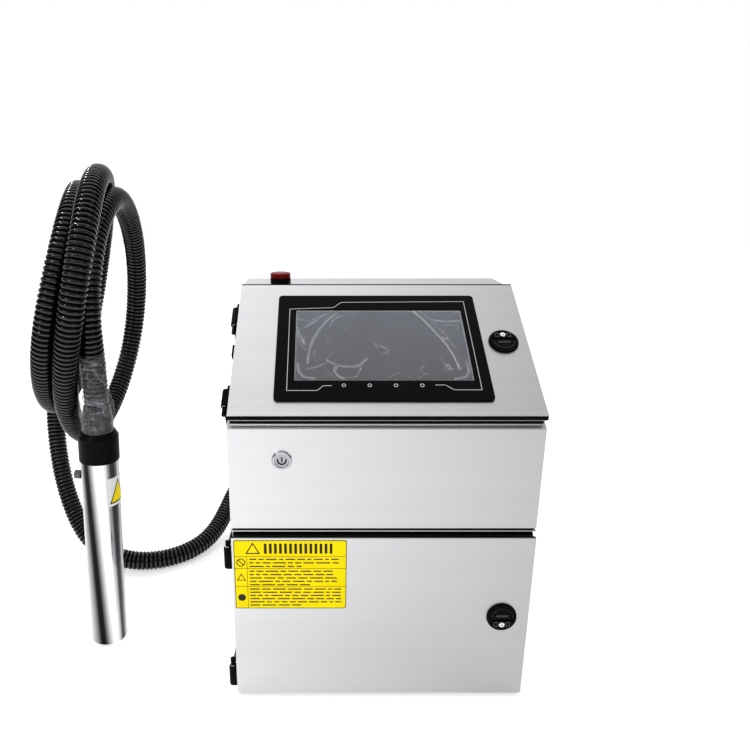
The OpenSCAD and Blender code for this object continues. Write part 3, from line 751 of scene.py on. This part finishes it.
# Folds of the screen film: points across and up the lid in mm, and the fold's height.
FOLDS = [
    ([(44, 161), (56, 144), (66, 126), (77, 106), (84, 86), (88, 66)], 1.1),
    ([(52, 161), (66, 142), (80, 118), (88, 98)], 0.7),
    ([(-52, 158), (-63, 146), (-73, 130), (-81, 112), (-85, 96), (-87, 74)], 0.9),
    ([(-60, 134), (-57, 145), (-49, 152), (-42, 154)], 0.7),
    ([(-64, 79), (-56, 73), (-48, 70), (-34, 69), (-26, 72), (-18, 82)], 0.9),
    ([(-54, 70), (-56, 63), (-52, 55), (-45, 50)], 1.0),
    ([(-88, 66), (-78, 68), (-68, 74)], 0.7),
    ([(-78, 96), (-80, 86), (-74, 78)], 0.6),
    ([(-66, 112), (-63, 106), (-58, 102)], 0.5),
    ([(68, 84), (71, 76), (76, 70)], 0.6),
    ([(84, 82), (90, 78), (97, 76)], 0.6),
    ([(66, 146), (80, 143), (99, 144)], 0.9),
    ([(72, 138), (84, 137), (98, 139)], 0.6),
    ([(-99, 150), (-90, 143), (-84, 134)], 0.7),
    ([(-99, 118), (-95, 104), (-86, 92)], 0.7),
    ([(-98, 74), (-97, 62), (-91, 54), (-78, 51)], 1.0),
    ([(98, 78), (98, 62), (93, 53), (80, 51)], 0.9),
    ([(-85, 143), (-74, 150), (-65, 157)], 0.8),
    ([(-90, 133), (-84, 139), (-76, 146)], 0.9),
    ([(-100, 133), (-96, 118), (-90, 105)], 0.8),
    ([(-30, 158), (-38, 150), (-44, 140)], 0.5),
]


def fold_height(x, y):
    """Height of the film's folds at a point, all in mm."""
    reach, half_width, on_the_line = 3, 0.85, 0.1
    height = 0.0
    for line, peak in FOLDS:
        nearest = math.inf
        for (ax, ay), (bx, by) in zip(line, line[1:]):
            ux, uy = bx - ax, by - ay
            f = ((x - ax) * ux + (y - ay) * uy) / (ux * ux + uy * uy)
            f = min(1, max(0, f))
            nearest = min(nearest, math.hypot(x - ax - ux * f, y - ay - uy * f))
            if nearest < on_the_line:
                break
        if nearest < reach:
            height = max(height, peak * math.exp(-((nearest / half_width) ** 2)))
    return height


def add_screen_film():
    """A creased clear sheet over the screen, a little slack at its edges."""
    x0, x1, y0, y1 = -101, 101, 49.5, 161.5
    screen_top, gap, bunched_edge = 1.3, 0.6, 5
    columns, rows = 260, 144
    points, faces = [], []
    for j in range(rows + 1):
        for i in range(columns + 1):
            x, y = x0 + (x1 - x0) * i / columns, y0 + (y1 - y0) * j / rows
            slack = noise.noise(Vector((x * 0.035, y * 0.035, 4.2)))
            edge = min(x - x0, x1 - x, y - y0, y1 - y)
            ripple = noise.noise(Vector((x * 0.3, y * 0.3, 1.5)))
            bunch = max(0, 1 - edge / bunched_edge) * ripple
            lift = gap + 0.4 * slack + fold_height(x, y) + 0.4 * bunch
            points.append(millimetres(LID) @ Vector((x, y, screen_top + lift)))
    for j in range(rows):
        for i in range(columns):
            a = j * (columns + 1) + i
            faces.append((a, a + 1, a + columns + 2, a + columns + 1))
    film = new_piece("screen_film_sheet", mesh_from("film", points, faces, True), "screen_film")
    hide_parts("screen_film")


add_bezel_line()
add_indicator_rings()
add_screen_film()


# ---------------------------------------------------------------- door label


class LabelPrint:
    """Gathers raised black shapes on the face of the door's label."""

    def __init__(self, face):
        self.face = face
        self.shapes = []

    def line(self, name, points, width, rise=0.08, closed=False):
        low, high = self.face - 0.05, self.face + rise
        self.shapes.append(ribbon(name, points, width, low, high, DOOR, closed=closed))

    def area(self, name, outline, rise=0.1, holes=()):
        low, high = self.face - 0.05, self.face + rise
        self.shapes.append(extruded(name, outline, low, high, DOOR, holes))


def add_label():
    """A yellow notice on the door: ruled rows, plain bars for lines, and blank warning shapes."""
    x0, x1, y0, y1 = -172, -42, 126.5, 217
    face = 0.4
    plate = extruded("plate", rounded_outline(x0, x1, y0, y1, 2.4), -0.02, face, DOOR)
    label = new_piece("door_label_plate", plate, "door_label")
    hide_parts("door_label")
    ink = LabelPrint(face)

    rows = [y1 - 21, y1 - 36.7, y1 - 60.6]
    column = x0 + 15
    border = rounded_outline(x0 + 0.5, x1 - 0.5, y0 + 0.5, y1 - 0.5, 2.2)
    ink.line("frame", border, 0.8, closed=True)
    for y in rows:
        ink.line("row", [(x0 + 1, y), (x1 - 1, y)], 0.5)
    ink.line("column", [(column, y0 + 1), (column, rows[0])], 0.5)

    heading = [(x0 + 14.5, y1 - 17), (x0 + 29.5, y1 - 17), (x0 + 22, y1 - 4)]
    ink.line("triangle", heading, 1.3, rise=0.1, closed=True)
    bars, bar_pitch, bar_width = 14, 5.8, 3.1
    for k in range(bars):
        x = x0 + 35 + bar_pitch * k
        low, high = y1 - 17.2, y1 - 4.2
        ink.area("bar", [(x, low), (x + bar_width, low), (x + bar_width, high), (x, high)])

    icons = [(rows[0] + rows[1]) / 2, (rows[1] + rows[2]) / 2, (rows[2] + y0) / 2]
    middle = (x0 + column) / 2 + 0.4
    outer, inner = ring_outline(middle, icons[0], 5.2, 1.1)
    ink.area("ring", outer, holes=[inner])
    stroke = [(middle - 3.2, icons[0] + 3.2), (middle + 3.2, icons[0] - 3.2)]
    ink.line("stroke", stroke, 1.1, rise=0.1)
    left, right = middle - 4.6, middle + 4.6
    small = [(left, icons[1] - 3.6), (right, icons[1] - 3.6), (middle, icons[1] + 4.6)]
    ink.line("triangle", small, 0.9, rise=0.1, closed=True)
    ink.area("disc", circle_outline(middle, icons[2], 4.6))

    # Lines of plain bars: the row they start in, how many, their pitch and their reach.
    spread = random.Random(7)
    gap, half_height = 2.6, 0.75
    for start, count, pitch, reach in [
        (rows[0], 3, 4.7, 106), (rows[1], 5, 4.5, 104), (rows[2], 6, 4.35, 109)
    ]:
        for line in range(count):
            y = start - 3.6 - pitch * line
            low, high = y - half_height, y + half_height
            x = column + gap
            end = column + (reach if line < count - 1 else reach * spread.uniform(0.45, 0.85))
            while x < end - 5:
                size = min(spread.uniform(4, 17), end - x)
                word = [(x, low), (x + size, low), (x + size, high), (x, high)]
                ink.area("word", word, rise=0.08)
                x += size + gap
    new_piece("door_label_print", joined("print", ink.shapes), "door_label", INK_BLACK)


# ---------------------------------------------------------------- latches and button


def latch_place(side):
    """The latch's own frame: z out of the panel, y towards its lock screw."""
    if side == "lid":
        return LID @ Matrix.Translation((146.5 * MM, 110 * MM, 0))
    return DOOR @ Matrix.Translation((142.5 * MM, 115 * MM, 0)) @ Matrix.Rotation(math.pi, 4, "Z")


def add_latch_details(side):
    """Lock screw, clips and grip ridge of the lid's or the door's latch."""
    place = latch_place(side)
    rotor, flap = f"{side}_latch_rotor", f"{side}_latch_flap"
    dark = MATERIALS["motor_dark"]
    head = place @ Matrix.Translation((0, 8.4 * MM, 0))
    profile = [(0, 3.2), (3.2, 3.2), (3.3, 4.5), (2.7, 5.0), (1.5, 5.0), (1.1, 4.3), (0, 4.2)]
    mesh = lathe("screw", profile, millimetres(head), 32)
    new_piece(f"{side}_latch_screw_head", mesh, rotor, ZINC)
    clips = []
    for way in (-1, 1):
        x0, x1 = sorted((way * 4.6, way * 9.6))
        outer = rounded_outline(x0, x1, 4.6, 11.4, 0.9, 3)
        inner = rounded_outline(x0 + 1.1, x1 - 1.1, 5.8, 10.2, 0.5, 3)
        clips.append(extruded("clip", outer, 3.2, 4.6, place, [inner[::-1]]))
    new_piece(f"{side}_latch_clips", joined("clips", clips), rotor, dark)
    rim_radius, rim_parts, rim_start, rim_sweep = 12.6, 24, 192, 156
    rim = []
    for k in range(rim_parts + 1):
        rim.append(polar(rim_radius, math.radians(rim_start + rim_sweep * k / rim_parts)))
    mesh = ribbon("rim", rim, 0.9, 3.1, 3.9, place)
    new_piece(f"{side}_latch_flap_rim", mesh, flap, dark)
    grip = [(-8, -1.5), (8, -1.5), (6.5, -4.2), (-6.5, -4.2)]
    mesh = extruded("grip", grip, 3.15, 3.7, place)
    new_piece(f"{side}_latch_flap_grip", mesh, flap, dark)


def add_button_symbol():
    """Ring and bar symbol of a power switch, standing on the cap."""
    x, y = BUTTON
    radius, width, low, high = 4.6, 1.6, 1.7, 1.95
    arc_parts, arc_start, arc_sweep = 28, 172, 196
    arc = []
    for k in range(arc_parts + 1):
        across, up = polar(radius, math.radians(arc_start + arc_sweep * k / arc_parts))
        arc.append((x + across, y + 0.4 + up))
    bar = [(x, y + 3.4), (x, y - 1)]
    lines = [ribbon("symbol_line", points, width, low, high, FRONT) for points in (arc, bar)]
    new_piece("power_symbol", joined("symbol", lines), "power_button_cap", INK_BLACK)


def add_button_shoulder():
    """The bright sloping shoulder round the power button."""
    place = millimetres(FRONT @ Matrix.Translation((BUTTON[0] * MM, BUTTON[1] * MM, 0)))
    profile = [(8.5, 2.4), (11.2, 0.02), (11.4, 0.02), (11.4, 0.6), (9.6, 3.2), (8.5, 3.2)]
    mesh = lathe("shoulder", profile, place, 64)
    new_piece("power_button_shoulder", mesh, "power_button_ring", BUTTON_EDGE)


# ---------------------------------------------------------------- print head


FILM_WALL = 0.15  # thickness of the film on the print head's neck and the hose, in mm


def add_neck_film():
    """Crinkled clear film wound round the neck of the print head and the hose above it."""
    steps, rings = 150, 50
    low, high = 307, 352
    usual_radius, bulge, bulge_place = 19.6, 1.6, 0.55
    nut_top, over_nut, over_hose = 322, 19.1, 17.4
    points = []
    for shell in (0, 1):
        for j in range(rings + 1):
            f = j / rings
            z = low + (high - low) * f
            for k in range(steps):
                a = 2 * math.pi * k / steps
                p = Vector((*polar(1.3, a), z * 0.075))
                folds = noise.noise(p * 1.7) * 1.3 + abs(noise.noise(p * 4.5)) * 1.3
                folds += 0.45 * noise.noise(p * 12)
                flare = bulge * math.exp(-((f - bulge_place) / 0.2) ** 2)
                r = usual_radius + flare - bulge * max(0, f - 0.75) * 4 + folds
                r = max(r, over_nut if z < nut_top else over_hose)
                ragged = 4.5 * f * noise.noise(Vector((*polar(2, a), 8.7)))
                r -= FILM_WALL * shell
                points.append(millimetres(HEAD) @ Vector((*polar(r, a), z + ragged)))
    film = mesh_from("film", points, double_wall(rings, steps), smooth=True)
    new_piece("neck_film", film, "head_gland_nut", NECK_FILM)


def add_hose_film():
    """Loose clear film round the first stretch of hose above the neck."""
    steps, rings, start = 120, 44, 4
    usual_radius, over_hose = 16.2, 15.5
    line = hose_line(RIB_PITCH / 4)[start : start + rings + 1]
    points = []
    side = Vector((0, 1, 0))
    for shell in (0, 1):
        for j in range(rings + 1):
            way = (line[min(j + 1, rings)] - line[max(j - 1, 0)]).normalized()
            side = (side - way * side.dot(way)).normalized()
            other = way.cross(side)
            for k in range(steps):
                a = 2 * math.pi * k / steps
                p = Vector((*polar(1.5, a), j * 0.13))
                r = usual_radius + noise.noise(p * 1.6) + 1.1 * abs(noise.noise(p * 3.4))
                r += 0.5 * noise.noise(p * 10)
                r = (max(r, over_hose) - FILM_WALL * shell) * MM
                points.append(line[j] + (side * math.cos(a) + other * math.sin(a)) * r)
    film = mesh_from("film", points, double_wall(rings, steps), smooth=True)
    new_piece("hose_film", film, "head_gland_nut", NECK_FILM)


def add_head_sticker():
    """A white sticker with a blank warning triangle, bent round the barrel."""
    steps, low, high = 16, 208, 247
    inner, outer = 24.0, 24.12
    start, sweep = math.radians(-52), math.radians(74)
    points, faces = [], []
    for r in (inner, outer):
        for z in (low, high):
            for k in range(steps + 1):
                a = start + sweep * k / steps
                points.append(millimetres(HEAD) @ Vector((*polar(r, a), z)))
    n = steps + 1
    for k in range(steps):
        faces.append((2 * n + k, 2 * n + k + 1, 3 * n + k + 1, 3 * n + k))
        faces.append((k, n + k, n + k + 1, k + 1))
        faces.append((k, k + 1, 2 * n + k + 1, 2 * n + k))
        faces.append((n + k, 3 * n + k, 3 * n + k + 1, n + k + 1))
    faces.append((0, 2 * n, 3 * n, n))
    faces.append((steps, n + steps, 3 * n + steps, 2 * n + steps))
    sticker = mesh_from("sticker", points, faces)
    new_piece("head_sticker", sticker, "head_cover_tube", PAPER_WHITE)
    add_bent_triangle("head_sticker_edge", 24.2, 211.5, 244, 34, INK_BLACK)
    add_bent_triangle("head_sticker_sign", 24.28, 213.5, 240, 28, MATERIALS["label_yellow"])


def add_bent_triangle(name, radius, low, high, half_turn, material):
    """A plain triangle bent round the barrel; half_turn is half its base, in degrees."""
    rows, steps = 16, 12
    middle, thickness = math.radians(-14), 0.15
    points, faces = [], []
    for r in (radius - thickness, radius):
        for j in range(rows + 1):
            f = j / rows
            reach = math.radians(half_turn) * max(1 - f, 0.02)
            for k in range(steps + 1):
                a = middle + reach * (2 * k / steps - 1)
                z = low + (high - low) * f
                points.append(millimetres(HEAD) @ Vector((*polar(r, a), z)))
    n = steps + 1
    shell = n * (rows + 1)
    for j in range(rows):
        for k in range(steps):
            a = j * n + k
            faces.append((a, a + n, a + n + 1, a + 1))
            faces.append((shell + a, shell + a + 1, shell + a + n + 1, shell + a + n))
        for k, turned in ((0, False), (steps, True)):
            a = j * n + k
            side = (a, shell + a, shell + a + n, a + n)
            faces.append(side[::-1] if turned else side)
    for j, turned in ((0, True), (rows, False)):
        for k in range(steps):
            a = j * n + k
            side = (a, shell + a, shell + a + 1, a + 1)
            faces.append(side[::-1] if turned else side)
    new_piece(name, mesh_from(name, points, faces), "head_cover_tube", material)


def add_thumb_knurl():
    """Fluted grip of the print head's thumb screw."""
    flute_count, flute_depth = 20, 0.22
    spot = HEAD @ Matrix.Translation((-24.2 * MM, 0, 244 * MM))
    place = millimetres(spot @ Matrix.Rotation(-math.pi / 2, 4, "Y"))
    profile = [(0, 0.6), (5.0, 0.6), (5.5, 1.2), (5.5, 8.0), (5.0, 8.8), (0, 8.8)]

    def flutes(angle, height):
        return flute_depth * math.cos(flute_count * angle) if 1 < height < 8.5 else 0

    mesh = lathe("knurl", profile, place, 120, flutes)
    new_piece("thumb_screw_grip", mesh, "head_thumb_screw", SCREW_GREY)


def add_beacon_ribs():
    """Moulded ribs round the beacon's red lens."""
    count, pitch = 3, 2
    place = millimetres(Matrix.Translation((-126 * MM, 85 * MM, 486 * MM)))
    profile = [(12.9, 0.4), (13.75, 0.7), (13.75, 1.5), (12.9, 1.8)]
    rings = []
    for k in range(count):
        shifted = [(r, z + pitch * k) for r, z in profile]
        rings.append(lathe("rib", shifted, place, 64))
    new_piece("beacon_lens_ribs", joined("ribs", rings), "beacon_lens")


add_label()
add_latch_details("lid")
add_latch_details("door")
add_button_symbol()
add_button_shoulder()
add_neck_film()
add_hose_film()
add_head_sticker()
add_thumb_knurl()
add_beacon_ribs()


# ---------------------------------------------------------------- floor and light


def add_floor():
    """The white paper that the printer stands on."""
    mesh = mesh_from("floor", [(-6, -6, 0), (6, -6, 0), (6, 6, 0), (-6, 6, 0)], [(0, 1, 2, 3)])
    floor = bpy.data.objects.new("floor", mesh)
    bpy.context.scene.collection.objects.link(floor)
    m = Nodes("floor_paper").set(
        Roughness=0.95, Specular_IOR_Level=0.1, Emission_Color=(1, 1, 1), Emission_Strength=0.5
    )
    m.colour(m.mix(m.noise(3), (0.84, 0.84, 0.84), (0.87, 0.87, 0.87)))
    mesh.materials.append(m.material)


def add_light(name, place, target, size, power):
    """A square lamp that shines on the target."""
    data = bpy.data.lights.new(name, "AREA")
    data.size = size
    data.energy = power
    light = bpy.data.objects.new(name, data)
    light.location = place
    light.rotation_euler = (Vector(target) - Vector(place)).to_track_quat("-Z", "Y").to_euler()
    bpy.context.scene.collection.objects.link(light)


# Brightness of the surround at the sides, and what the front and the top add to it.
WORLD_SIDES = 0.06
WORLD_FRONT = 0.28
WORLD_TOP = 0.97


def add_world():
    """White studio whose light comes from behind, from above and a little from the front.

    The camera itself sees plain white all round.
    """
    world = bpy.data.worlds.new("studio")
    world.use_nodes = True
    tree = world.node_tree
    background = tree.nodes["Background"]
    background.inputs["Color"].default_value = (1, 1, 1, 1)
    coords = tree.nodes.new("ShaderNodeTexCoord")

    def toward(direction, start, stop, low, high):
        """Brightness that rises from low to high as the view turns towards a direction."""
        dot = tree.nodes.new("ShaderNodeVectorMath")
        dot.operation = "DOT_PRODUCT"
        dot.inputs[1].default_value = Vector(direction).normalized()
        tree.links.new(coords.outputs["Generated"], dot.inputs[0])
        ramp = tree.nodes.new("ShaderNodeMapRange")
        ramp.interpolation_type = "SMOOTHSTEP"
        limits = {"From Min": start, "From Max": stop, "To Min": low, "To Max": high}
        for key, value in limits.items():
            ramp.inputs[key].default_value = value
        tree.links.new(dot.outputs["Value"], ramp.inputs["Value"])
        return ramp.outputs["Result"]

    parts = [
        toward((0, 1, 0), 0.15, 0.6, WORLD_SIDES, 1.0),
        toward((-0.25, -1, 0.1), 0.55, 0.95, 0, WORLD_FRONT),
        toward((0, 0, 1), 0.55, 0.85, 0, WORLD_TOP),
    ]
    total = parts[0]
    for part in parts[1:]:
        add = tree.nodes.new("ShaderNodeMath")
        tree.links.new(total, add.inputs[0])
        tree.links.new(part, add.inputs[1])
        total = add.outputs[0]
    seen = tree.nodes.new("ShaderNodeLightPath").outputs["Is Camera Ray"]
    strength = tree.nodes.new("ShaderNodeMath")
    strength.operation = "MAXIMUM"
    tree.links.new(total, strength.inputs[0])
    tree.links.new(seen, strength.inputs[1])
    tree.links.new(strength.outputs[0], background.inputs["Strength"])
    bpy.context.scene.world = world
    bpy.context.scene.view_settings.view_transform = "Standard"


add_floor()
add_world()
add_light("key", (-1.5, -1.7, 1.6), (-0.1, -0.1, 0.25), 0.14, 15.5)
add_light("fill", (1.6, -1.5, 1.3), (0, 0, 0.25), 0.3, 5)
add_light("rim", (-1.2, 0.9, 1.6), (-0.4, 0, 0.4), 0.14, 6)
